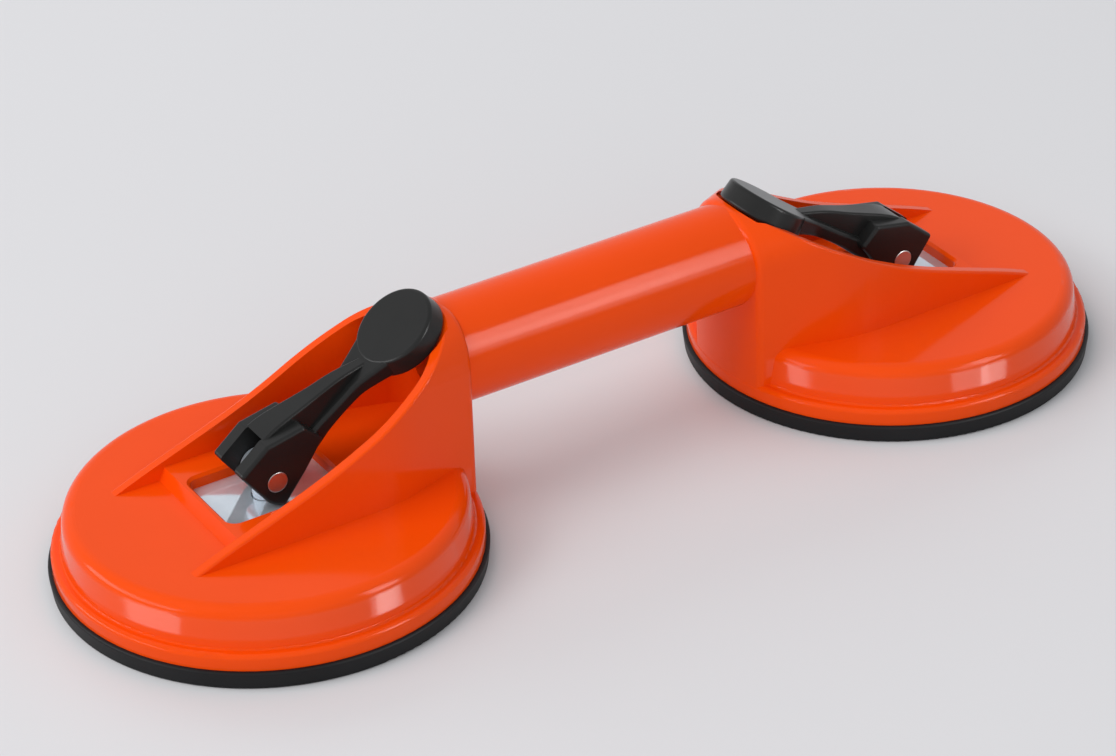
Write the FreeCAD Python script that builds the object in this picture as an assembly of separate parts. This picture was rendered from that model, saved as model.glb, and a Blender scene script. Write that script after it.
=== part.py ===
import FreeCAD, Part
import math
import os

# Double suction-cup lifter: two round cup housings joined by a tube grip.
# All sizes are in millimetres. X runs along the grip, Z is up, and the
# origin is midway between the cups on the surface the pads stand on.

os.makedirs("parts", exist_ok=True)

# ---- overall layout ----
CUP_SPACING = 207.0          # between the two cup axes
PAD_R = 60.0                 # rubber pad
PAD_EDGE_H = 5.2             # height of the pad's rim, which carries the housing
CLEAR = 0.3                  # general clearance between moulded pieces
RUN_FIT = 0.05               # radial running clearance of a pin in its eye

# ---- housing ----
LIP_R = PAD_R - 1.2          # lower lip of the housing, and the tower's end face
LIP_TOP = 9.9
LIP_ROUND = 1.4
WALL_FOOT_R = LIP_R - 2.8    # where the conical wall leaves the lip
SHOULDER_R = LIP_R - 4.2     # the cone's radius at the deck, before rounding
SHOULDER_ROUND = 4.0
DECK_TOP = 21.3              # flat top of the housing
SKIN = 3.0                   # moulded wall thickness
LIP_WALL = 6.2               # thickness of the lip
CAVITY_R = LIP_R - LIP_WALL  # inside of the lip

# ---- tower: the pair of side walls that rise to the grip ----
TOWER_HALF_W = 25.0          # outer faces of the two walls
TOWER_END_HALF_W = 15.0      # half width at the grip end, flush with the tube
TOWER_BEND_U = 28.0          # where the walls start to close in
TOWER_END_U = LIP_R + 1.2
RIB_TIP_U = -34.0            # where the walls run out on the deck
BEND_REACH = 8.0             # length of the soft bend, to either side
ARCH_ROUND = 6.0             # roof corner of the tower where it is widest
END_INSET = 0.1              # the tower's end face stands this far inside the lip
END_ROUND = 2.5              # upright corners of the tower's end face
TUNNEL_TOP = 61.2            # top of the tower's arched roof
RIM_ROUND = 0.7              # outer edge of the rim
CUTTER_HALF_W = 40.0         # half width of the tools that cut right through
RIM_POINTS = [(RIB_TIP_U, DECK_TOP), (-12.0, 29.3), (8.0, 36.6), (24.0, 44.2),
              (LIP_R - 18.8, 53.2), (LIP_R - 4.4, TUNNEL_TOP)]
RECESS_END_U = LIP_R - 5.8
RECESS_ROUND = 7.0           # upright inner corners of the recess
PLATFORM_TOP = 25.0          # raised floor between the walls
PLATFORM_FRONT_U = -20.7
PLATFORM_RUN = 1.9           # how far its front face leans back
WINDOW_BACK = 17.0           # from the cup axis towards the outer end
WINDOW_FRONT = 19.0          # from the cup axis towards the grip
WINDOW_HALF_W = 13.0
WINDOW_ROUND = 3.0
WINDOW_CHAMFER = 0.8

# ---- grip ----
GRIP_R = 15.06
GRIP_Z = 46.0
GRIP_BORE_R = 12.0

# ---- lever and pin, in the lever's own frame with the pin at its origin ----
PIN_R = 3.1
PIN_HALF_LEN = 8.35
PIN_Z = 29.3
REST_ANGLE = 36.0            # slope of the lever when it is laid over the grip
FORK_HALF_W = 8.3
FORK_END = 5.9               # pin to end face, which stands on the plate when released
FORK_TOP_END = 10.2
FORK_TOP_BACK = 10.8
FORK_TOP_LEN = 5.0
FORK_ROUND = 1.0             # outer edges of the fork's cheeks
ARM_ROUND = 1.3
SPINE_ROUND = 0.7
CAM_GAP = 0.15               # running gap between the cam and the wear plate
SLOT_END = 5.7
PADDLE_X = 51.7
PADDLE_R = 12.0
PADDLE_FOOT_R = 12.7
PADDLE_TOP = -0.1
PADDLE_T = 6.2
NECK_HALF_W = 5.2
SPINE_HALF_W = 3.0

# ---- wear plate, pull stud, backing disc, spring ----
PLATE_T = 2.0
PLATE_BACK = 19.2
PLATE_FRONT = 22.0
PLATE_HALF_W = 15.6
PLATE_TOP = DECK_TOP
STUD_R = 3.5
STUD_EYE_R = 5.2
STUD_FLAT = 3.5              # half thickness of the flattened eye
COLLAR_R = 6.2
COLLAR_T = 1.5
DISC_R = 22.0
DISC_T = 2.5
PAD_BOSS_TOP = 6.5
SPRING_R = 9.4
SPRING_WIRE_R = 0.8
SPRING_TURNS = 3

# ---- pad ----
PAD_DOME = 1.6               # the underside is lifted this much at its centre
PAD_FLAT_R0 = 47.0           # inner edge of the sealing ring on the surface
PAD_RING_R = CAVITY_R - CLEAR
PAD_RING_T = 2.6
PAD_RING_TOP = 8.6
PAD_SKIN = 4.2

# lifting stroke that the cam gives, from the released to the locked pose
LOCK_DIST = PIN_Z - PLATE_TOP
STROKE = LOCK_DIST - FORK_END
SWING = math.radians(90.0 - REST_ANGLE)


def vec(x, y, z):
    return FreeCAD.Vector(x, y, z)


def flat_xz(p):
    return vec(p[0], 0.0, p[1])


def flat_xy(p):
    return vec(p[0], p[1], 0.0)


def corner(prev, here, after, radius):
    """Start, middle and end of the arc that rounds one corner of a polygon."""
    ax, ay = prev[0] - here[0], prev[1] - here[1]
    bx, by = after[0] - here[0], after[1] - here[1]
    la, lb = math.hypot(ax, ay), math.hypot(bx, by)
    ax, ay, bx, by = ax / la, ay / la, bx / lb, by / lb
    half = math.acos(max(-1.0, min(1.0, ax * bx + ay * by))) / 2.0
    reach = radius / math.tan(half)
    mx, my = ax + bx, ay + by
    lm = math.hypot(mx, my)
    to_arc = radius / math.sin(half) - radius
    start = (here[0] + ax * reach, here[1] + ay * reach)
    middle = (here[0] + mx / lm * to_arc, here[1] + my / lm * to_arc)
    end = (here[0] + bx * reach, here[1] + by * reach)
    return start, middle, end


def rounded_wire(points, place):
    """Closed wire through (a, b, radius) corners, laid out by place()."""
    count = len(points)
    runs = []
    for i, here in enumerate(points):
        prev, after = points[i - 1], points[(i + 1) % count]
        if here[2] > 0.0:
            runs.append(corner(prev, here, after, here[2]))
        else:
            runs.append(((here[0], here[1]), None, (here[0], here[1])))
    edges = []
    for i, run in enumerate(runs):
        nxt = runs[(i + 1) % count]
        if run[1] is not None:
            edges.append(Part.Arc(place(run[0]), place(run[1]), place(run[2])).toShape())
        if math.hypot(run[2][0] - nxt[0][0], run[2][1] - nxt[0][1]) > 1e-6:
            edges.append(Part.LineSegment(place(run[2]), place(nxt[0])).toShape())
    return Part.Wire(edges)


def plate_xy(points, z0, z1):
    """Prism over a rounded polygon in plan."""
    face = Part.Face(rounded_wire(points, flat_xy))
    face.translate(vec(0, 0, z0))
    return face.extrude(vec(0, 0, z1 - z0))


def plate_xz(points, half_w):
    """Prism over a rounded side profile, as wide as half_w to either side."""
    face = Part.Face(rounded_wire(points, flat_xz))
    face.translate(vec(0, -half_w, 0))
    return face.extrude(vec(0, 2.0 * half_w, 0))


def turned(points):
    """Solid of revolution about Z from a rounded (r, z, radius) profile."""
    face = Part.Face(rounded_wire(points, flat_xz))
    return face.revolve(vec(0, 0, 0), vec(0, 0, 1), 360)


def box(x0, x1, y0, y1, z0, z1):
    return Part.makeBox(x1 - x0, y1 - y0, z1 - z0, vec(x0, y0, z0))


def post(radius, z0, z1):
    return Part.makeCylinder(radius, z1 - z0, vec(0, 0, z0), vec(0, 0, 1))


def upright(edge, beyond):
    """True for a vertical edge off the centre line, past a given X."""
    size = edge.BoundBox
    thin = size.XLength < 0.2 and size.YLength < 0.2
    return thin and size.ZLength > 10.0 and size.XMin > beyond and abs(size.YMin) > 1.0


def cross_pin(radius, half_len, x=0.0, z=0.0):
    return Part.makeCylinder(radius, 2.0 * half_len, vec(x, -half_len, z), vec(0, 1, 0))


# ---------------------------------------------------------------- housing ---

def arch_wire(u, half_w, radius, top, bottom):
    """One cross section of the arched tower, across the grip."""
    points = [(-half_w, bottom, 0.0), (half_w, bottom, 0.0),
              (half_w, top, radius), (-half_w, top, radius)]
    return rounded_wire(points, lambda p: vec(u, p[0], p[1]))


def tower_half_width(u):
    """Parallel walls that bend softly inward and then close in evenly."""
    slope = (TOWER_END_HALF_W - TOWER_HALF_W) / (TOWER_END_U - TOWER_BEND_U)
    past = u - TOWER_BEND_U
    if past <= -BEND_REACH:
        return TOWER_HALF_W
    if past >= BEND_REACH:
        return TOWER_HALF_W + slope * past
    return TOWER_HALF_W + slope * (past + BEND_REACH) ** 2 / (4.0 * BEND_REACH)


def arch(inset, start_u, end_u, bottom):
    """Arched tunnel that narrows towards the grip, set in by inset."""
    count = 8
    places = [start_u]
    for i in range(count + 1):
        places.append(TOWER_BEND_U + BEND_REACH * (2.0 * i / count - 1.0))
    places.append(end_u)
    sections = []
    for u in places:
        half_w = tower_half_width(u) - inset
        part = max(0.0, min(1.0, (u - TOWER_BEND_U + 8.0) / (TOWER_END_U - TOWER_BEND_U + 8.0)))
        radius = ARCH_ROUND + part * (TOWER_END_HALF_W - 0.6 - ARCH_ROUND)
        radius = max(2.0, min(radius - inset, half_w - 0.2))
        sections.append(arch_wire(u, half_w, radius, TUNNEL_TOP - inset, bottom))
    return Part.makeLoft(sections, True, True)


def rim_cutter():
    """Everything above the rim curve of the two walls."""
    curve = Part.BSplineCurve()
    curve.interpolate([vec(u, -CUTTER_HALF_W, z) for u, z in RIM_POINTS])
    first, last = RIM_POINTS[0], RIM_POINTS[-1]
    top = TUNNEL_TOP + 20.0
    run = [(last[0], last[1]), (last[0], top), (first[0] - 20.0, top),
           (first[0] - 20.0, first[1]), (first[0], first[1])]
    corners = [vec(u, -CUTTER_HALF_W, z) for u, z in run]
    edges = [curve.toShape()]
    for a, b in zip(corners[:-1], corners[1:]):
        edges.append(Part.LineSegment(a, b).toShape())
    return Part.Face(Part.Wire(edges)).extrude(vec(0, 2.0 * CUTTER_HALF_W, 0))


def housing_skin():
    outer = turned([(0, PAD_EDGE_H, 0), (LIP_R, PAD_EDGE_H, 0), (LIP_R, LIP_TOP, LIP_ROUND),
                    (WALL_FOOT_R, LIP_TOP, 0.6), (SHOULDER_R, DECK_TOP, SHOULDER_ROUND),
                    (0, DECK_TOP, 0)])
    return outer


def housing_cavity():
    under = DECK_TOP - SKIN
    return turned([(0, 0, 0), (CAVITY_R, 0, 0), (CAVITY_R, LIP_TOP, 0.8),
                   (SHOULDER_R - SKIN, under, 2.0), (0, under, 0)])


def on_rim(edge):
    """True for the outer edge between a wall and the rim's top face."""
    size = edge.BoundBox
    rises = size.XLength > 0.3 and size.ZLength > 0.2 and size.ZMin > DECK_TOP - 0.01
    middle = edge.valueAt((edge.FirstParameter + edge.LastParameter) / 2.0)
    return rises and size.XMax < RIM_POINTS[-1][0] + 0.1 and abs(middle.y) > 8.0


def tower_outer():
    solid = arch(0.0, RIB_TIP_U - 6.0, TOWER_END_U, PAD_EDGE_H)
    end = post(LIP_R - END_INSET, PAD_EDGE_H, TUNNEL_TOP + 10.0)
    solid = solid.common(end).cut(rim_cutter())
    corners = [e for e in solid.Edges if upright(e, TOWER_BEND_U + BEND_REACH)]
    solid = solid.makeFillet(END_ROUND, corners)
    return solid.makeFillet(RIM_ROUND, [e for e in solid.Edges if on_rim(e)])


def recess():
    """Space between the walls, above the deck and the raised platform."""
    inner = arch(SKIN, RIB_TIP_U - 8.0, RECESS_END_U, 0.0)
    lean = PLATFORM_FRONT_U + PLATFORM_RUN
    above = plate_xz([(RIB_TIP_U - 20.0, DECK_TOP, 0), (PLATFORM_FRONT_U, DECK_TOP, 0),
                      (lean, PLATFORM_TOP, 0), (TOWER_END_U, PLATFORM_TOP, 0),
                      (TOWER_END_U, TUNNEL_TOP + 10.0, 0),
                      (RIB_TIP_U - 20.0, TUNNEL_TOP + 10.0, 0)], 40.0)
    solid = inner.common(above)
    return solid.makeFillet(RECESS_ROUND,
                            [e for e in solid.Edges if upright(e, RECESS_END_U - 1.0)])


def end_core():
    """Hollow under the tower's end, reached from below."""
    inner = arch(SKIN, RIB_TIP_U - 8.0, TOWER_END_U, 0.0)
    reach = post(LIP_R - SKIN, 0.0, PLATFORM_TOP - SKIN - 0.6)
    side = box(TOWER_BEND_U + 2.0, TOWER_END_U, -40, 40, -1, PLATFORM_TOP)
    return inner.common(reach).common(side)


def rounded_rect(u0, u1, half_w, radius):
    return [(u0, -half_w, radius), (u1, -half_w, radius), (u1, half_w, radius),
            (u0, half_w, radius)]


def window():
    low = DECK_TOP - 0.5
    straight = plate_xy(rounded_rect(-WINDOW_BACK, WINDOW_FRONT, WINDOW_HALF_W, WINDOW_ROUND),
                        low, PLATFORM_TOP + 1.0)
    c = WINDOW_CHAMFER
    narrow = rounded_wire(rounded_rect(-WINDOW_BACK, WINDOW_FRONT, WINDOW_HALF_W, WINDOW_ROUND),
                          flat_xy)
    wide = rounded_wire(rounded_rect(-WINDOW_BACK - 2 * c, WINDOW_FRONT + 2 * c,
                                     WINDOW_HALF_W + 2 * c, WINDOW_ROUND + 2 * c), flat_xy)
    narrow.translate(vec(0, 0, PLATFORM_TOP - c))
    wide.translate(vec(0, 0, PLATFORM_TOP + c))
    return straight.fuse(Part.makeLoft([narrow, wide], True, True))


def plate_pocket():
    g = CLEAR / 2.0
    return plate_xy(rounded_rect(-PLATE_BACK - g, PLATE_FRONT + g, PLATE_HALF_W + g, 2.0),
                    DECK_TOP - SKIN - 1.0, DECK_TOP)


def to_lever(shape):
    """Move a shape from the lever's own frame to the cup's, in the rest pose."""
    shape.rotate(vec(0, 0, 0), vec(0, 1, 0), -REST_ANGLE)
    shape.translate(vec(0, 0, PIN_Z))
    return shape


def lever_seat():
    """Shallow seat for the underside of the lever's paddle."""
    seat = Part.makeCylinder(PADDLE_FOOT_R + 1.0, PIN_Z,
                             vec(PADDLE_X, 0, PADDLE_TOP - PADDLE_T - CLEAR), vec(0, 0, 1))
    return to_lever(seat)


def housing():
    solid = housing_skin().fuse(tower_outer())
    for tool in (recess(), housing_cavity(), end_core(), plate_pocket(), window()):
        solid = solid.cut(tool)
    return solid


def grip():
    """Tube between the two towers, before its bore is cut."""
    reach = CUP_SPACING / 2.0 - RECESS_END_U - 0.5
    return Part.makeCylinder(GRIP_R, 2.0 * reach, vec(-reach, 0, GRIP_Z), vec(1, 0, 0))


def placed(shape, side):
    """Put a piece of one cup on the left (-1) or the right (+1)."""
    out = shape.copy()
    if side > 0:
        out.rotate(vec(0, 0, 0), vec(0, 0, 1), 180)
    out.translate(vec(side * CUP_SPACING / 2.0, 0, 0))
    return out


def body():
    cup = housing()
    solid = placed(cup, -1).fuse([placed(cup, 1), grip()])
    half = CUP_SPACING / 2.0 - RECESS_END_U + 2.0
    bore = Part.makeCylinder(GRIP_BORE_R, 2.0 * half, vec(-half, 0, GRIP_Z), vec(1, 0, 0))
    for tool in (bore, placed(lever_seat(), -1), placed(lever_seat(), 1)):
        solid = solid.cut(tool)
    return solid.removeSplitter()


# ------------------------------------------------------------- cup pieces ---

def pad():
    """Rubber pad: sealing ring on the surface, thin dome, and a centre boss."""
    ring_in = PAD_RING_R - PAD_RING_T
    return turned([(0, PAD_DOME, 0), (14.0, PAD_DOME, 10.0), (PAD_FLAT_R0, 0, 8.0),
                   (PAD_R - 0.6, 0, 0.5), (PAD_R, PAD_EDGE_H, 0.8),
                   (PAD_RING_R, PAD_EDGE_H, 0), (PAD_RING_R, PAD_RING_TOP, 0),
                   (ring_in, PAD_RING_TOP, 0), (ring_in, PAD_SKIN + 0.2, 0),
                   (DISC_R + 4.5, PAD_SKIN + 0.9, 0), (DISC_R + 2.0, PAD_BOSS_TOP, 0),
                   (0, PAD_BOSS_TOP, 0)])


def backing_disc():
    solid = turned([(0, PAD_BOSS_TOP, 0), (DISC_R, PAD_BOSS_TOP, 0),
                    (DISC_R, PAD_BOSS_TOP + DISC_T, 0.6), (0, PAD_BOSS_TOP + DISC_T, 0)])
    return solid.cut(post(STUD_R, 0, PIN_Z))


def pull_stud():
    """Round shank with a collar, flattened at the top into an eye for the pin."""
    seat = PAD_BOSS_TOP + DISC_T
    shank = turned([(0, PAD_BOSS_TOP, 0), (STUD_R, PAD_BOSS_TOP, 0), (STUD_R, PIN_Z, 0),
                    (0, PIN_Z, 0)])
    collar = turned([(0, seat, 0), (COLLAR_R, seat, 0), (COLLAR_R, seat + COLLAR_T, 0.5),
                     (0, seat + COLLAR_T, 0)])
    eye = cross_pin(STUD_EYE_R, STUD_FLAT, 0.0, PIN_Z)
    solid = shank.fuse([collar, eye])
    solid = solid.common(box(-20, 20, -20, 20, 0, PIN_Z).fuse(
        box(-20, 20, -STUD_FLAT, STUD_FLAT, PIN_Z - 4, PIN_Z + 20)))
    return solid.cut(cross_pin(PIN_R + RUN_FIT, 20.0, 0.0, PIN_Z)).removeSplitter()


def spring():
    """Compression spring between the wear plate and the backing disc. Each
    half turn is half a ring, tilted about its own chord so that it starts and
    ends level, and the next one carries on from it without a kink."""
    low = PAD_BOSS_TOP + DISC_T + SPRING_WIRE_R + 0.05
    high = PLATE_TOP - PLATE_T - SPRING_WIRE_R - 0.05
    rise = (high - low) / (2.0 * SPRING_TURNS)
    halves = []
    for i in range(2 * SPRING_TURNS):
        x = SPRING_R if i % 2 == 0 else -SPRING_R
        start = vec(x, 0, low + i * rise)
        end = vec(-x, 0, low + (i + 1) * rise)
        wire = Part.Wire(Part.Circle(start, vec(0, 1, 0), SPRING_WIRE_R).toShape())
        turn_axis = (end - start).cross(vec(0, 1, 0))
        if turn_axis.z < 0:
            turn_axis = turn_axis * -1.0
        halves.append(Part.Face(wire).revolve((start + end) * 0.5, turn_axis, 180))
    return halves[0].fuse(halves[1:]).removeSplitter()


def wear_plate():
    solid = plate_xy(rounded_rect(-PLATE_BACK, PLATE_FRONT, PLATE_HALF_W, 2.0),
                     PLATE_TOP - PLATE_T, PLATE_TOP)
    return solid.cut(post(STUD_R + CLEAR, 0, 40))


def pivot_pin():
    pin = Part.makeCylinder(PIN_R, 2.0 * PIN_HALF_LEN, vec(0, -PIN_HALF_LEN, 0), vec(0, 1, 0))
    ends = [e for e in pin.Edges if e.BoundBox.YLength < 0.01]
    pin = pin.makeFillet(0.4, ends)
    pin.translate(vec(0, 0, PIN_Z))
    return pin


# ------------------------------------------------------------------ lever ---

def cam_points(count):
    """Cam flank: the pin sinks evenly as the lever swings up, so the flank is
    an involute whose distance from the pin falls in step with the angle."""
    slope = -STROKE / SWING
    out = []
    for i in range(count):
        turn = SWING * i / (count - 1)
        a = math.radians(REST_ANGLE) + turn
        dist = LOCK_DIST + slope * turn - CAM_GAP
        x = -dist * math.sin(a) - slope * math.cos(a)
        z = -dist * math.cos(a) + slope * math.sin(a)
        out.append((x, z))
    return out


def fork_block():
    """Head of the lever: fork cheeks with the end face and the cam."""
    cam = cam_points(9)
    curve = Part.BSplineCurve()
    curve.interpolate([flat_xz(p) for p in cam])
    end_x = -(FORK_END - CAM_GAP)
    path = [cam[-1], (end_x, FORK_TOP_END), (FORK_TOP_LEN, FORK_TOP_BACK), (15.6, 6.0),
            (16.9, -1.6), (7.3, -4.9), cam[0]]
    edges = [curve.toShape()]
    for a, b in zip(path[:-1], path[1:]):
        edges.append(Part.LineSegment(flat_xz(a), flat_xz(b)).toShape())
    face = Part.Face(Part.Wire(edges))
    face.translate(vec(0, -FORK_HALF_W, 0))
    solid = face.extrude(vec(0, 2.0 * FORK_HALF_W, 0))
    outer = [e for e in solid.Edges if e.BoundBox.YLength < 0.1 or e.BoundBox.ZMin > -3.0]
    return solid.makeFillet(FORK_ROUND, outer)


def arm_plan():
    """Plan of the arm, from the fork to the round paddle."""
    half = NECK_HALF_W
    join = PADDLE_X - 8.6
    wide = 8.4
    return plate_xy([(6.0, -half - 1.6, 0), (19.0, -half, 12.0), (33.0, -half, 14.0),
                     (join, -wide, 0), (PADDLE_X, -wide, 0), (PADDLE_X, wide, 0),
                     (join, wide, 0), (33.0, half, 14.0), (19.0, half, 12.0),
                     (6.0, half + 1.6, 0)], -12.0, 12.0)


def spline_edge(points):
    curve = Part.BSplineCurve()
    curve.interpolate([flat_xz(p) for p in points])
    return curve.toShape()


def side_solid(top, bottom, half_w):
    """Solid between an upper and a lower side curve."""
    edges = [spline_edge(top), Part.LineSegment(flat_xz(top[-1]), flat_xz(bottom[-1])).toShape(),
             spline_edge(bottom), Part.LineSegment(flat_xz(bottom[0]), flat_xz(top[0])).toShape()]
    face = Part.Face(Part.Wire(Part.sortEdges(edges)[0]))
    face.translate(vec(0, -half_w, 0))
    return face.extrude(vec(0, 2.0 * half_w, 0))


def arm():
    foot = PADDLE_TOP - PADDLE_T
    bottom = [(6.0, -4.6), (14.0, -4.9), (22.0, -4.3), (30.0, -4.3), (38.0, -5.1),
              (PADDLE_X - 5.7, foot + 0.05), (PADDLE_X, foot)]
    top = [(6.0, 1.0), (14.0, 0.6), (22.0, 0.1), (30.0, -0.1), (38.0, PADDLE_TOP - 0.1),
           (PADDLE_X - 5.7, PADDLE_TOP - 0.1), (PADDLE_X, PADDLE_TOP - 0.1)]
    solid = side_solid(top, bottom, 20.0).common(arm_plan())
    return solid.makeFillet(ARM_ROUND, [e for e in solid.Edges if e.BoundBox.XLength > 3.0])


def spine():
    """Raised rib that stiffens the neck and runs out on the paddle."""
    top = [(4.0, 10.5), (10.0, 9.9), (16.0, 8.1), (24.0, 5.5), (31.0, 3.4), (37.5, 0.6),
           (41.5, -1.2)]
    bottom = [(4.0, -3.0), (24.0, -3.0), (41.5, -3.0)]
    tip = SPINE_HALF_W - 1.3
    plan = plate_xy([(4.0, -SPINE_HALF_W - 2.2, 0), (24.0, -SPINE_HALF_W, 30.0),
                     (42.0, -tip, 0), (42.0, tip, 0),
                     (24.0, SPINE_HALF_W, 30.0), (4.0, SPINE_HALF_W + 2.2, 0)], -12.0, 12.0)
    solid = side_solid(top, bottom, 20.0).common(plan)
    ridge = [e for e in solid.Edges if e.BoundBox.XLength > 3.0 and e.BoundBox.ZMax > -2.0]
    return solid.makeFillet(SPINE_ROUND, ridge)


def paddle():
    foot = PADDLE_TOP - PADDLE_T
    disc = turned([(0, foot, 0), (PADDLE_FOOT_R, foot, 1.0), (PADDLE_R, PADDLE_TOP, 1.0),
                   (0, PADDLE_TOP, 0)])
    disc.translate(vec(PADDLE_X, 0, 0))
    return disc


def lever():
    solid = fork_block().fuse([arm(), spine(), paddle()])
    slot = box(-20.0, SLOT_END, -STUD_FLAT - CLEAR, STUD_FLAT + CLEAR, -20.0, 20.0)
    solid = solid.cut(slot).cut(cross_pin(PIN_R, 20.0))
    return to_lever(solid.removeSplitter())


def save(name, shape):
    if not shape.isValid():
        print("NOT VALID", name)
    box_ = shape.BoundBox
    print(name, "solids", len(shape.Solids), "volume", round(shape.Volume, 1),
          "x", round(box_.XMin, 2), round(box_.XMax, 2), "y", round(box_.YMin, 2),
          round(box_.YMax, 2), "z", round(box_.ZMin, 2), round(box_.ZMax, 2))
    shape.exportStep("parts/" + name + ".step")


save("body", body())
PIECES = [("pad", pad), ("backing_disc", backing_disc), ("pull_stud", pull_stud),
          ("spring", spring), ("wear_plate", wear_plate), ("pivot_pin", pivot_pin),
          ("lever", lever)]
for piece_name, make in PIECES:
    piece = make()
    for side_name, side in (("left", -1), ("right", 1)):
        save(piece_name + "_" + side_name, placed(piece, side))
print("stroke", round(STROKE, 3), "swing degrees", round(math.degrees(SWING), 2))
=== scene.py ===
"""Twin-cup slab lifter: finishes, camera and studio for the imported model."""

import math

import bmesh
import bpy
from mathutils import Matrix, Vector


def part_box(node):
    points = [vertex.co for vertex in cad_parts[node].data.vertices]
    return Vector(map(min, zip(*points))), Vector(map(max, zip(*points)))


bl_info = {
    "name": "Slab Lifter Dressing",
    "version": (1, 0, 0),
    "blender": (4, 5, 0),
    "location": "View3D > Sidebar > Slab Lifter",
    "description": "Gives the twin-cup slab lifter its finishes, camera and studio",
    "category": "Object",
}

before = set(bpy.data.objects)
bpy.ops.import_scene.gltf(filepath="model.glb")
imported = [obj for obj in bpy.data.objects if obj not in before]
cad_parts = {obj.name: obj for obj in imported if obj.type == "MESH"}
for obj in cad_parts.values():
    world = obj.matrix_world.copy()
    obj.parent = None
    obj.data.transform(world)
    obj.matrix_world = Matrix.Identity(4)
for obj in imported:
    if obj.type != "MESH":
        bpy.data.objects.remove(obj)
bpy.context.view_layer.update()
PAD_LOW, PAD_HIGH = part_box("pad_left")
CUP_X = (PAD_LOW[0] + PAD_HIGH[0]) / 2
PAD_RADIUS = (PAD_HIGH[1] - PAD_LOW[1]) / 2
SIDES = ("left", "right")

# Wall band of the cups, for its coat. Heights in metres, reach as a share of the
# pad's radius, given as the start and the end of each soft edge.
BAND_LOW, BAND_HIGH = 0.0122, 0.0188
BAND_INSIDE = (0.86, 0.87)
BAND_OUTSIDE = (0.955, 0.945)
BAND_EDGE = 1300.0      # steepness of the upper and lower edge, per metre
BAND_DRAFT = 0.577      # rise of the coat's normal for each unit outward: 30 degrees

SENSOR_WIDTH = 36.0     # millimetres
TABLE_HALF = 4.0
TABLE_TOP = -0.0001     # just under the pads, so the two faces don't fight
LAMP_AIM_HEIGHT = 0.03
ROOM_LIGHT = 0.52
ROOM_COLOUR = (0.95, 0.97, 1.0, 1.0)

# name, direction from the lifter, distance, width and height, watts, and whether
# it lights matt surfaces and shows in glossy ones
LAMPS = (
    ("window card", (0.46, -0.74, 0.50), 1.6, (0.42, 0.80), 8.5, False, True),
    ("low card", (0.21, -0.49, 0.18), 0.56, (0.19, 0.21), 0.46, False, True),
    ("left window", (-0.96, 0.29, 0.34), 1.5, (1.63, 0.45), 10.5, False, True),
    ("overhead bank", (-0.66, 0.17, 0.93), 3.2, (2.6, 2.6), 49.0, True, False),
    ("front fill", (-0.45, -0.85, 0.42), 2.6, (1.9, 1.3), 13.5, True, False),
    ("back wash", (0.10, 0.95, 0.60), 2.4, (1.8, 1.0), 10.0, True, False),
    ("left fill", (-0.90, -0.05, 0.60), 3.4, (1.2, 0.9), 13.0, True, False),
)


# ---------------------------------------------------------------- settings


class LIFTER_PG_housing(bpy.types.PropertyGroup):
    """Finish of the moulded housing and its tube grip."""

    colour: bpy.props.FloatVectorProperty(
        name="Housing colour",
        description="Base colour of the glossy moulded shell",
        subtype="COLOR",
        size=3,
        min=0.0,
        max=1.0,
        default=(0.90, 0.072, 0.0015),
    )
    roughness: bpy.props.FloatProperty(
        name="Gloss roughness",
        description="Roughness of the clean moulded surface",
        subtype="FACTOR",
        min=0.0,
        max=1.0,
        default=0.13,
    )
    band: bpy.props.FloatProperty(
        name="Wall sheen",
        description="Weight of the coat that mirrors the lamps on the wall band of the cups",
        subtype="FACTOR",
        min=0.0,
        max=1.0,
        default=0.5,
    )
    ripple: bpy.props.FloatProperty(
        name="Flow ripple",
        description="Height of the faint waviness left by the mould",
        subtype="DISTANCE",
        unit="LENGTH",
        default=0.00003,
    )


class LIFTER_PG_lever(bpy.types.PropertyGroup):
    """Finish of the two cam levers."""

    colour: bpy.props.FloatVectorProperty(
        name="Lever colour",
        description="Base colour of the moulded levers",
        subtype="COLOR",
        size=3,
        min=0.0,
        max=1.0,
        default=(0.0112, 0.0115, 0.0112),
    )
    roughness: bpy.props.FloatProperty(
        name="Lever roughness",
        description="Roughness of the lever surface",
        subtype="FACTOR",
        min=0.0,
        max=1.0,
        default=0.28,
    )
    grain: bpy.props.FloatProperty(
        name="Spark grain",
        description="Height of the fine grain of the lever mould",
        subtype="DISTANCE",
        unit="LENGTH",
        default=0.00002,
    )


class LIFTER_PG_pad(bpy.types.PropertyGroup):
    """Finish of the rubber pads."""

    colour: bpy.props.FloatVectorProperty(
        name="Rubber colour",
        description="Base colour of the suction pads",
        subtype="COLOR",
        size=3,
        min=0.0,
        max=1.0,
        default=(0.006, 0.006, 0.0065),
    )
    roughness: bpy.props.FloatProperty(
        name="Rubber roughness",
        description="Roughness of the clean rubber",
        subtype="FACTOR",
        min=0.0,
        max=1.0,
        default=0.48,
    )


class LIFTER_PG_metal(bpy.types.PropertyGroup):
    """Finish of the plated and ground steel parts."""

    zinc: bpy.props.FloatVectorProperty(
        name="Zinc colour",
        description="Colour of the bright zinc plating",
        subtype="COLOR",
        size=3,
        min=0.0,
        max=1.0,
        default=(0.80, 0.89, 0.97),
    )
    steel: bpy.props.FloatVectorProperty(
        name="Steel colour",
        description="Colour of the pivot pins and springs",
        subtype="COLOR",
        size=3,
        min=0.0,
        max=1.0,
        default=(0.60, 0.60, 0.59),
    )


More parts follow.
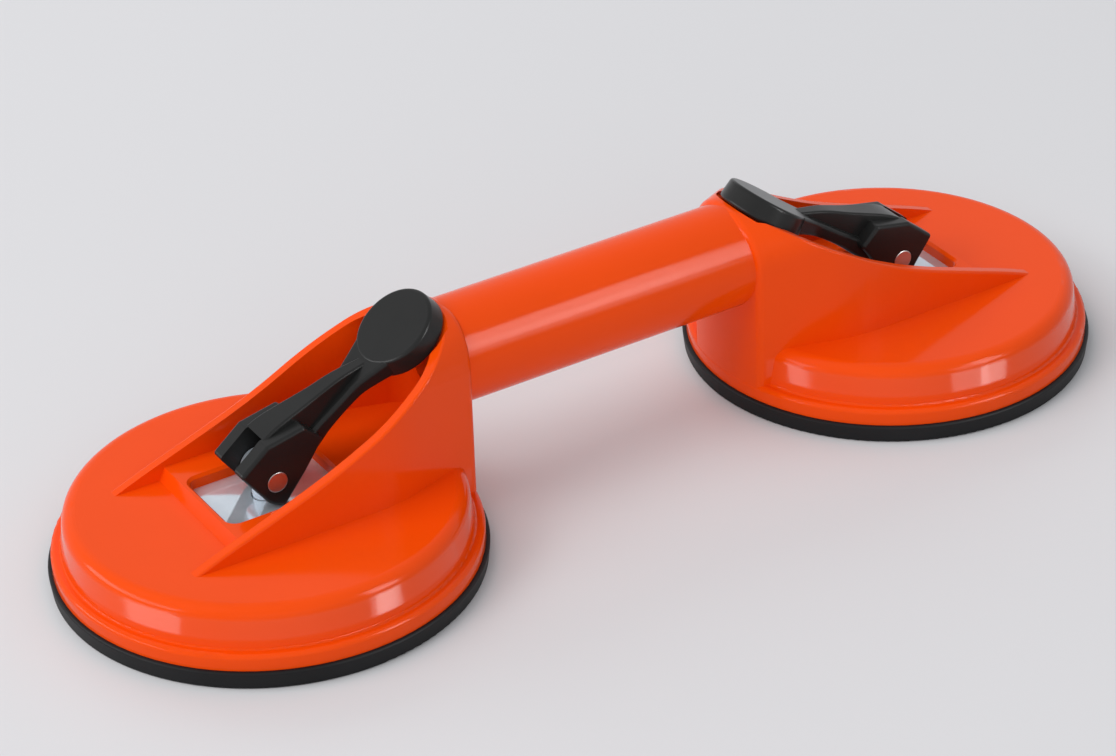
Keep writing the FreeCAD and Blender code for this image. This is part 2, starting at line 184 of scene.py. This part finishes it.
class LIFTER_PG_studio(bpy.types.PropertyGroup):
    """Camera, table and lamps."""

    azimuth: bpy.props.FloatProperty(
        name="Camera azimuth",
        description="Direction of the camera round the lifter",
        subtype="ANGLE",
        unit="ROTATION",
        default=math.radians(-31.3),
    )
    elevation: bpy.props.FloatProperty(
        name="Camera elevation",
        description="Height angle of the camera above the table",
        subtype="ANGLE",
        unit="ROTATION",
        default=math.radians(31.48),
    )
    roll: bpy.props.FloatProperty(
        name="Camera roll",
        description="Tilt of the picture about the line of sight",
        subtype="ANGLE",
        unit="ROTATION",
        default=math.radians(-1.94),
    )
    distance: bpy.props.FloatProperty(
        name="Camera distance",
        description="Distance from the point looked at",
        subtype="DISTANCE",
        unit="LENGTH",
        default=1.0254,
    )
    target: bpy.props.FloatVectorProperty(
        name="Point looked at",
        description="Point in the middle of the picture",
        subtype="TRANSLATION",
        unit="LENGTH",
        size=3,
        default=(-0.01031, -0.0001, 0.025),
    )
    lens: bpy.props.FloatProperty(
        name="Lens",
        description="Focal length on a 36 mm wide sensor, in millimetres",
        default=118.36,
    )
    table: bpy.props.FloatVectorProperty(
        name="Table colour",
        description="Colour of the table and of the space behind it",
        subtype="COLOR",
        size=3,
        min=0.0,
        max=1.0,
        default=(0.685, 0.68, 0.692),
    )


SETTINGS = {
    "slab_lifter_housing": LIFTER_PG_housing,
    "slab_lifter_lever": LIFTER_PG_lever,
    "slab_lifter_pad": LIFTER_PG_pad,
    "slab_lifter_metal": LIFTER_PG_metal,
    "slab_lifter_studio": LIFTER_PG_studio,
}


# ---------------------------------------------------------------- node tools


def node(tree, kind, **values):
    """Adds a node, sets its attributes by name and its inputs from a dict."""
    made = tree.nodes.new(kind)
    inputs = values.pop("inputs", {})
    for name, value in values.items():
        setattr(made, name, value)
    for name, value in inputs.items():
        if hasattr(value, "is_linked") or hasattr(value, "links"):
            tree.links.new(value, made.inputs[name])
        else:
            made.inputs[name].default_value = value
    return made


def new_group(name, inputs, outputs):
    """Makes an empty shader node group with float sockets of the given names."""
    group = bpy.data.node_groups.new(name, "ShaderNodeTree")
    for label, default in inputs:
        socket = group.interface.new_socket(
            name=label, in_out="INPUT", socket_type="NodeSocketFloat"
        )
        socket.default_value = default
    for label in outputs:
        group.interface.new_socket(
            name=label, in_out="OUTPUT", socket_type="NodeSocketFloat"
        )
    return group, group.nodes.new("NodeGroupInput"), group.nodes.new("NodeGroupOutput")


def cloud_group():
    """Slow, cloudy variation from 0 to 1 over the surface."""
    found = bpy.data.node_groups.get("surface cloud")
    if found:
        return found
    group, into, out = new_group(
        "surface cloud", (("Scale", 30.0), ("Contrast", 1.0)), ("Value",)
    )
    place = node(group, "ShaderNodeTexCoord")
    noise = node(
        group,
        "ShaderNodeTexNoise",
        inputs={
            "Vector": place.outputs["Object"],
            "Scale": into.outputs["Scale"],
            "Detail": 3.0,
            "Roughness": 0.55,
        },
    )
    centred = node(
        group, "ShaderNodeMath", operation="SUBTRACT", inputs={0: noise.outputs["Fac"], 1: 0.5}
    )
    spread = node(
        group,
        "ShaderNodeMath",
        operation="MULTIPLY_ADD",
        use_clamp=True,
        inputs={0: centred.outputs[0], 1: into.outputs["Contrast"], 2: 0.5},
    )
    group.links.new(spread.outputs[0], out.inputs["Value"])
    return group


def grain_group():
    """Fine grain of a moulded or rubbed surface, as a height from 0 to 1."""
    found = bpy.data.node_groups.get("mould grain")
    if found:
        return found
    group, into, out = new_group("mould grain", (("Scale", 900.0), ("Mix", 0.5)), ("Height",))
    place = node(group, "ShaderNodeTexCoord")
    fine = node(
        group,
        "ShaderNodeTexNoise",
        inputs={
            "Vector": place.outputs["Object"],
            "Scale": into.outputs["Scale"],
            "Detail": 2.0,
        },
    )
    pits = node(
        group,
        "ShaderNodeTexVoronoi",
        feature="SMOOTH_F1",
        inputs={
            "Vector": place.outputs["Object"],
            "Scale": into.outputs["Scale"],
            "Smoothness": 0.6,
        },
    )
    both = node(
        group,
        "ShaderNodeMix",
        data_type="FLOAT",
        inputs={
            0: into.outputs["Mix"],
            2: fine.outputs["Fac"],
            3: pits.outputs["Distance"],
        },
    )
    group.links.new(both.outputs[0], out.inputs["Height"])
    return group


def scratch_group():
    """Sparse hairline scratches in two directions, 1 inside a scratch."""
    found = bpy.data.node_groups.get("hairline scratches")
    if found:
        return found
    group, into, out = new_group(
        "hairline scratches", (("Scale", 25.0), ("Amount", 0.5)), ("Mask",)
    )
    place = node(group, "ShaderNodeTexCoord")
    lines = []
    for turn, stretch in ((0.5, (1.0, 26.0, 8.0)), (2.1, (1.0, 34.0, 6.0))):
        turned = node(
            group,
            "ShaderNodeMapping",
            inputs={
                "Vector": place.outputs["Object"],
                "Rotation": (0.0, 0.3, turn),
                "Scale": stretch,
            },
        )
        noise = node(
            group,
            "ShaderNodeTexNoise",
            inputs={
                "Vector": turned.outputs[0],
                "Scale": into.outputs["Scale"],
                "Detail": 4.0,
                "Roughness": 0.7,
            },
        )
        ridge = node(
            group,
            "ShaderNodeMapRange",
            clamp=True,
            inputs={
                "Value": noise.outputs["Fac"],
                "From Min": 0.66,
                "From Max": 0.72,
            },
        )
        lines.append(ridge.outputs[0])
    either = node(group, "ShaderNodeMath", operation="MAXIMUM", inputs={0: lines[0], 1: lines[1]})
    scaled = node(
        group,
        "ShaderNodeMath",
        operation="MULTIPLY",
        use_clamp=True,
        inputs={0: either.outputs[0], 1: into.outputs["Amount"]},
    )
    group.links.new(scaled.outputs[0], out.inputs["Mask"])
    return group


def band_group():
    """The wall band around both cups: a mask, and a normal that leans upward as a
    drafted wall's would. The coat alone uses it; the shape itself doesn't lean so far."""
    found = bpy.data.node_groups.get("cup wall band")
    if found:
        return found
    group, into, out = new_group(
        "cup wall band",
        (("Cup", 0.0), ("Radius", 1.0), ("Low", 0.0), ("High", 1.0), ("Draft", 0.0)),
        ("Mask",),
    )
    group.interface.new_socket(name="Normal", in_out="OUTPUT", socket_type="NodeSocketVector")
    place = node(group, "ShaderNodeTexCoord")
    spot = node(group, "ShaderNodeSeparateXYZ", inputs={0: place.outputs["Object"]})
    side = node(group, "ShaderNodeMath", operation="ABSOLUTE", inputs={0: spot.outputs["X"]})
    along = node(
        group,
        "ShaderNodeMath",
        operation="SUBTRACT",
        inputs={0: side.outputs[0], 1: into.outputs["Cup"]},
    )
    across = node(
        group,
        "ShaderNodeCombineXYZ",
        inputs={"X": along.outputs[0], "Y": spot.outputs["Y"]},
    )
    reach = node(
        group, "ShaderNodeVectorMath", operation="LENGTH", inputs={0: across.outputs[0]}
    )
    share = node(
        group,
        "ShaderNodeMath",
        operation="DIVIDE",
        inputs={0: reach.outputs["Value"], 1: into.outputs["Radius"]},
    )
    ramps = []
    for start, end in (BAND_INSIDE, BAND_OUTSIDE):
        ramps.append(
            node(
                group,
                "ShaderNodeMapRange",
                clamp=True,
                inputs={"Value": share.outputs[0], "From Min": start, "From Max": end},
            ).outputs[0]
        )
    for edge, sign in (("Low", 1.0), ("High", -1.0)):
        past = node(
            group,
            "ShaderNodeMath",
            operation="SUBTRACT",
            inputs={0: spot.outputs["Z"], 1: into.outputs[edge]},
        )
        ramps.append(
            node(
                group,
                "ShaderNodeMath",
                operation="MULTIPLY",
                use_clamp=True,
                inputs={0: past.outputs[0], 1: sign * BAND_EDGE},
            ).outputs[0]
        )
    mask = ramps[0]
    for ramp in ramps[1:]:
        mask = node(
            group, "ShaderNodeMath", operation="MULTIPLY", inputs={0: mask, 1: ramp}
        ).outputs[0]
    surface = node(group, "ShaderNodeNewGeometry")
    facing = node(group, "ShaderNodeSeparateXYZ", inputs={0: surface.outputs["Normal"]})
    level = node(
        group,
        "ShaderNodeCombineXYZ",
        inputs={"X": facing.outputs["X"], "Y": facing.outputs["Y"]},
    )
    outward = node(
        group, "ShaderNodeVectorMath", operation="NORMALIZE", inputs={0: level.outputs[0]}
    )
    rise = node(group, "ShaderNodeCombineXYZ", inputs={"Z": into.outputs["Draft"]})
    leaning = node(
        group,
        "ShaderNodeVectorMath",
        operation="ADD",
        inputs={0: outward.outputs[0], 1: rise.outputs[0]},
    )
    drafted = node(
        group, "ShaderNodeVectorMath", operation="NORMALIZE", inputs={0: leaning.outputs[0]}
    )
    group.links.new(mask, out.inputs["Mask"])
    group.links.new(drafted.outputs[0], out.inputs["Normal"])
    return group


def use_group(tree, group, **values):
    """Places a node group in a material with its own values."""
    placed = tree.nodes.new("ShaderNodeGroup")
    placed.node_tree = group
    for name, value in values.items():
        placed.inputs[name].default_value = value
    return placed


def new_material(name):
    """Makes an empty material and returns it with its tree, shader and output."""
    made = bpy.data.materials.new(name)
    made.use_nodes = True
    tree = made.node_tree
    tree.nodes.clear()
    out = tree.nodes.new("ShaderNodeOutputMaterial")
    shader = tree.nodes.new("ShaderNodeBsdfPrincipled")
    tree.links.new(shader.outputs["BSDF"], out.inputs["Surface"])
    return made, tree, shader


def tint(tree, base, other, factor):
    """Mixes two plain colours by a mask and returns the colour output."""
    mixed = node(tree, "ShaderNodeMix", data_type="RGBA", clamp_factor=True)
    tree.links.new(factor, mixed.inputs[0])
    mixed.inputs[6].default_value = (*base, 1.0)
    mixed.inputs[7].default_value = (*other, 1.0)
    return mixed.outputs[2]


def spread(tree, factor, low, high):
    """Turns a mask from 0 to 1 into a value from low to high."""
    ranged = node(
        tree, "ShaderNodeMapRange", clamp=True, inputs={"To Min": low, "To Max": high}
    )
    tree.links.new(factor, ranged.inputs["Value"])
    return ranged.outputs[0]


def bump(tree, height, distance, strength=1.0, normal=None):
    """Adds a bump of the given depth in metres and returns its normal."""
    made = node(tree, "ShaderNodeBump", inputs={"Strength": strength, "Distance": distance})
    tree.links.new(height, made.inputs["Height"])
    if normal is not None:
        tree.links.new(normal, made.inputs["Normal"])
    return made.outputs[0]


def shade(colour, factor):
    """A darker or lighter version of a colour."""
    return tuple(min(1.0, c * factor) for c in colour)


# ---------------------------------------------------------------- finishes


def housing_finish(look):
    """Glossy moulded shell: faint flow ripple, colour drift and a few hairlines."""
    made, tree, shader = new_material("glossy orange shell")
    drift = use_group(tree, cloud_group(), Scale=24.0, Contrast=1.4)
    hairs = use_group(tree, scratch_group(), Scale=30.0, Amount=0.45)
    ripple = use_group(tree, cloud_group(), Scale=95.0, Contrast=1.0)
    grain = use_group(tree, grain_group(), Scale=1500.0, Mix=0.3)
    colour = tint(tree, look.colour, shade(look.colour, 0.93), drift.outputs[0])
    tree.links.new(colour, shader.inputs["Base Color"])
    rough = spread(tree, hairs.outputs[0], look.roughness, look.roughness + 0.16)
    tree.links.new(rough, shader.inputs["Roughness"])
    wavy = bump(tree, ripple.outputs[0], look.ripple, 0.6)
    skin = bump(tree, grain.outputs[0], 0.000004, 0.5, wavy)
    tree.links.new(skin, shader.inputs["Normal"])
    shader.inputs["Specular IOR Level"].default_value = 0.15
    band = use_group(
        tree,
        band_group(),
        Cup=abs(CUP_X),
        Radius=PAD_RADIUS,
        Low=BAND_LOW,
        High=BAND_HIGH,
        Draft=BAND_DRAFT,
    )
    tree.links.new(
        spread(tree, band.outputs["Mask"], 0.0, look.band), shader.inputs["Coat Weight"]
    )
    tree.links.new(band.outputs["Normal"], shader.inputs["Coat Normal"])
    shader.inputs["Coat Roughness"].default_value = 0.09
    return made


def lever_finish(look):
    """Charcoal moulding with a fine spark grain and slightly polished spots."""
    made, tree, shader = new_material("charcoal lever moulding")
    drift = use_group(tree, cloud_group(), Scale=60.0, Contrast=1.5)
    hairs = use_group(tree, scratch_group(), Scale=42.0, Amount=0.6)
    grain = use_group(tree, grain_group(), Scale=2300.0, Mix=0.45)
    colour = tint(tree, look.colour, shade(look.colour, 1.35), drift.outputs[0])
    tree.links.new(colour, shader.inputs["Base Color"])
    rough = spread(tree, hairs.outputs[0], look.roughness, look.roughness + 0.14)
    tree.links.new(rough, shader.inputs["Roughness"])
    tree.links.new(bump(tree, grain.outputs[0], look.grain, 0.7), shader.inputs["Normal"])
    shader.inputs["Specular IOR Level"].default_value = 0.25
    return made


def pad_finish(look):
    """Black rubber: matt, with a faint bloom and fine moulded grain."""
    made, tree, shader = new_material("black pad rubber")
    bloom = use_group(tree, cloud_group(), Scale=38.0, Contrast=2.2)
    grain = use_group(tree, grain_group(), Scale=1800.0, Mix=0.6)
    colour = tint(tree, look.colour, shade(look.colour, 1.9), bloom.outputs[0])
    tree.links.new(colour, shader.inputs["Base Color"])
    rough = spread(tree, bloom.outputs[0], look.roughness - 0.04, look.roughness + 0.1)
    tree.links.new(rough, shader.inputs["Roughness"])
    tree.links.new(bump(tree, grain.outputs[0], 0.00002, 0.6), shader.inputs["Normal"])
    shader.inputs["Specular IOR Level"].default_value = 0.2
    return made


def zinc_finish(look):
    """Bright zinc plating: soft spangle, rolled grain and light rubbing."""
    made, tree, shader = new_material("bright zinc plate")
    spangle = use_group(tree, cloud_group(), Scale=160.0, Contrast=1.6)
    hairs = use_group(tree, scratch_group(), Scale=60.0, Amount=0.8)
    grain = use_group(tree, grain_group(), Scale=1400.0, Mix=0.2)
    colour = tint(tree, look.zinc, shade(look.zinc, 0.86), spangle.outputs[0])
    tree.links.new(colour, shader.inputs["Base Color"])
    rough = spread(tree, hairs.outputs[0], 0.07, 0.17)
    tree.links.new(rough, shader.inputs["Roughness"])
    tree.links.new(bump(tree, grain.outputs[0], 0.00001, 0.5), shader.inputs["Normal"])
    shader.inputs["Metallic"].default_value = 0.62
    return made


def steel_finish(look, name, rough_low, rough_high):
    """Ground or drawn steel with fine marks."""
    made, tree, shader = new_material(name)
    cloud = use_group(tree, cloud_group(), Scale=220.0, Contrast=1.4)
    hairs = use_group(tree, scratch_group(), Scale=140.0, Amount=1.0)
    colour = tint(tree, look.steel, shade(look.steel, 0.8), cloud.outputs[0])
    tree.links.new(colour, shader.inputs["Base Color"])
    tree.links.new(
        spread(tree, hairs.outputs[0], rough_low, rough_high), shader.inputs["Roughness"]
    )
    tree.links.new(bump(tree, hairs.outputs[0], 0.00001, 0.5), shader.inputs["Normal"])
    shader.inputs["Metallic"].default_value = 1.0
    return made


def give_finish(name, finish):
    """Puts one finish in every material slot of one part."""
    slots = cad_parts[name].material_slots
    if not slots:
        raise RuntimeError(f"{name} has no material slot")
    for slot in slots:
        slot.material = finish


# ---------------------------------------------------------------- operators


class LIFTER_OT_camera(bpy.types.Operator):
    """Set up the camera that looks down on the lifter"""

    bl_idname = "slab_lifter.camera"
    bl_label = "Camera"

    def execute(self, context):
        studio = context.scene.slab_lifter_studio
        lens = bpy.data.cameras.new("camera")
        lens.lens = studio.lens
        lens.sensor_width = SENSOR_WIDTH
        lens.sensor_fit = "HORIZONTAL"
        lens.clip_start = 0.01
        lens.clip_end = 50.0
        camera = bpy.data.objects.new("camera", lens)
        context.scene.collection.objects.link(camera)
        turn, lift, roll = studio.azimuth, studio.elevation, studio.roll
        back = Vector(
            (math.sin(turn) * math.cos(lift), -math.cos(turn) * math.cos(lift), math.sin(lift))
        )
        right = Vector((math.cos(turn), math.sin(turn), 0.0))
        up = back.cross(right)
        right, up = (
            right * math.cos(roll) + up * math.sin(roll),
            up * math.cos(roll) - right * math.sin(roll),
        )
        place = Matrix((right, up, back)).transposed().to_4x4()
        place.translation = Vector(studio.target) + back * studio.distance
        camera.matrix_world = place
        context.scene.camera = camera
        return {"FINISHED"}


class LIFTER_OT_housing(bpy.types.Operator):
    """Finish the moulded housing and its tube grip"""

    bl_idname = "slab_lifter.housing"
    bl_label = "Housing and grip"

    def execute(self, context):
        give_finish("body", housing_finish(context.scene.slab_lifter_housing))
        return {"FINISHED"}


class LIFTER_OT_levers(bpy.types.Operator):
    """Finish the two cam levers"""

    bl_idname = "slab_lifter.levers"
    bl_label = "Cam levers"

    def execute(self, context):
        finish = lever_finish(context.scene.slab_lifter_lever)
        for side in SIDES:
            give_finish("lever_" + side, finish)
        return {"FINISHED"}


class LIFTER_OT_pads(bpy.types.Operator):
    """Finish the two rubber pads"""

    bl_idname = "slab_lifter.pads"
    bl_label = "Suction pads"

    def execute(self, context):
        finish = pad_finish(context.scene.slab_lifter_pad)
        for side in SIDES:
            give_finish("pad_" + side, finish)
        return {"FINISHED"}


class LIFTER_OT_hardware(bpy.types.Operator):
    """Finish the plates, studs, springs and pivot pins"""

    bl_idname = "slab_lifter.hardware"
    bl_label = "Steel hardware"

    def execute(self, context):
        look = context.scene.slab_lifter_metal
        zinc = zinc_finish(look)
        pin = steel_finish(look, "ground pin steel", 0.34, 0.46)
        wire = steel_finish(look, "drawn spring wire", 0.26, 0.42)
        for side in SIDES:
            for part in ("wear_plate_", "pull_stud_", "backing_disc_"):
                give_finish(part + side, zinc)
            give_finish("pivot_pin_" + side, pin)
            give_finish("spring_" + side, wire)
        return {"FINISHED"}


def table_finish(colour):
    """Plain pale table that shows its written colour and keeps soft shadows."""
    made, tree, shader = new_material("pale table")
    cloud = use_group(tree, cloud_group(), Scale=3.0, Contrast=0.6)
    tree.links.new(
        tint(tree, colour, shade(colour, 1.03), cloud.outputs[0]), shader.inputs["Base Color"]
    )
    shader.inputs["Roughness"].default_value = 0.7
    shader.inputs["Specular IOR Level"].default_value = 0.0
    return made


def lamp(name, toward, distance, size, power, lights, shines):
    """Adds a soft rectangular lamp seen from the lifter in one direction. It can
    be kept from lighting surfaces, or from showing in glossy ones."""
    light = bpy.data.lights.new(name, "AREA")
    light.shape = "RECTANGLE"
    light.size, light.size_y = size
    light.energy = power
    placed = bpy.data.objects.new(name, light)
    bpy.context.scene.collection.objects.link(placed)
    direction = Vector(toward).normalized()
    placed.location = Vector((0.0, 0.0, LAMP_AIM_HEIGHT)) + direction * distance
    placed.rotation_mode = "QUATERNION"
    placed.rotation_quaternion = direction.to_track_quat("Z", "Y")
    placed.visible_camera = False
    placed.visible_diffuse = lights
    placed.visible_glossy = shines
    return placed


class LIFTER_OT_stage(bpy.types.Operator):
    """Set the lifter on a pale table in soft studio light"""

    bl_idname = "slab_lifter.stage"
    bl_label = "Table and lamps"

    def execute(self, context):
        studio = context.scene.slab_lifter_studio
        shape = bmesh.new()
        bmesh.ops.create_grid(shape, x_segments=2, y_segments=2, size=TABLE_HALF)
        bmesh.ops.translate(shape, vec=(0.0, 0.0, TABLE_TOP), verts=shape.verts)
        mesh = bpy.data.meshes.new("table")
        shape.to_mesh(mesh)
        shape.free()
        table = bpy.data.objects.new("table", mesh)
        context.scene.collection.objects.link(table)
        mesh.materials.append(table_finish(studio.table))

        world = bpy.data.worlds.new("studio")
        context.scene.world = world
        world.use_nodes = True
        tree = world.node_tree
        tree.nodes.clear()
        out = tree.nodes.new("ShaderNodeOutputWorld")
        room = node(tree, "ShaderNodeBackground", inputs={"Strength": ROOM_LIGHT})
        room.inputs["Color"].default_value = ROOM_COLOUR
        seen = node(tree, "ShaderNodeBackground", inputs={"Strength": 1.0})
        seen.inputs["Color"].default_value = (*studio.table, 1.0)
        path = tree.nodes.new("ShaderNodeLightPath")
        pick = tree.nodes.new("ShaderNodeMixShader")
        plain = node(
            tree,
            "ShaderNodeMath",
            operation="MAXIMUM",
            inputs={0: path.outputs["Is Camera Ray"], 1: path.outputs["Is Glossy Ray"]},
        )
        tree.links.new(plain.outputs[0], pick.inputs[0])
        tree.links.new(room.outputs[0], pick.inputs[1])
        tree.links.new(seen.outputs[0], pick.inputs[2])
        tree.links.new(pick.outputs[0], out.inputs["Surface"])

        for settings in LAMPS:
            lamp(*settings)

        context.scene.view_settings.view_transform = "Standard"
        return {"FINISHED"}


class LIFTER_PT_panel(bpy.types.Panel):
    """Lists the steps that dress the lifter"""

    bl_label = "Slab Lifter"
    bl_idname = "LIFTER_PT_panel"
    bl_space_type = "VIEW_3D"
    bl_region_type = "UI"
    bl_category = "Slab Lifter"

    def draw(self, context):
        for step in STEPS:
            self.layout.operator(step.bl_idname)
        for name in SETTINGS:
            box = self.layout.box()
            settings = getattr(context.scene, name)
            for field in settings.bl_rna.properties.keys():
                if field not in ("rna_type", "name"):
                    box.prop(settings, field)


STEPS = (
    LIFTER_OT_camera,
    LIFTER_OT_housing,
    LIFTER_OT_levers,
    LIFTER_OT_pads,
    LIFTER_OT_hardware,
    LIFTER_OT_stage,
)


def register():
    """Registers the settings, the steps and the panel."""
    for name, kind in SETTINGS.items():
        bpy.utils.register_class(kind)
        setattr(bpy.types.Scene, name, bpy.props.PointerProperty(type=kind))
    for step in STEPS:
        bpy.utils.register_class(step)
    bpy.utils.register_class(LIFTER_PT_panel)


def unregister():
    """Takes the panel, the steps and the settings away again."""
    bpy.utils.unregister_class(LIFTER_PT_panel)
    for step in reversed(STEPS):
        bpy.utils.unregister_class(step)
    for name, kind in SETTINGS.items():
        delattr(bpy.types.Scene, name)
        bpy.utils.unregister_class(kind)


def main():
    """Dresses the lifter step by step."""
    register()
    bpy.ops.slab_lifter.camera()
    bpy.ops.slab_lifter.housing()
    bpy.ops.slab_lifter.levers()
    bpy.ops.slab_lifter.pads()
    bpy.ops.slab_lifter.hardware()
    bpy.ops.slab_lifter.stage()


if __name__ == "__main__":
    main()
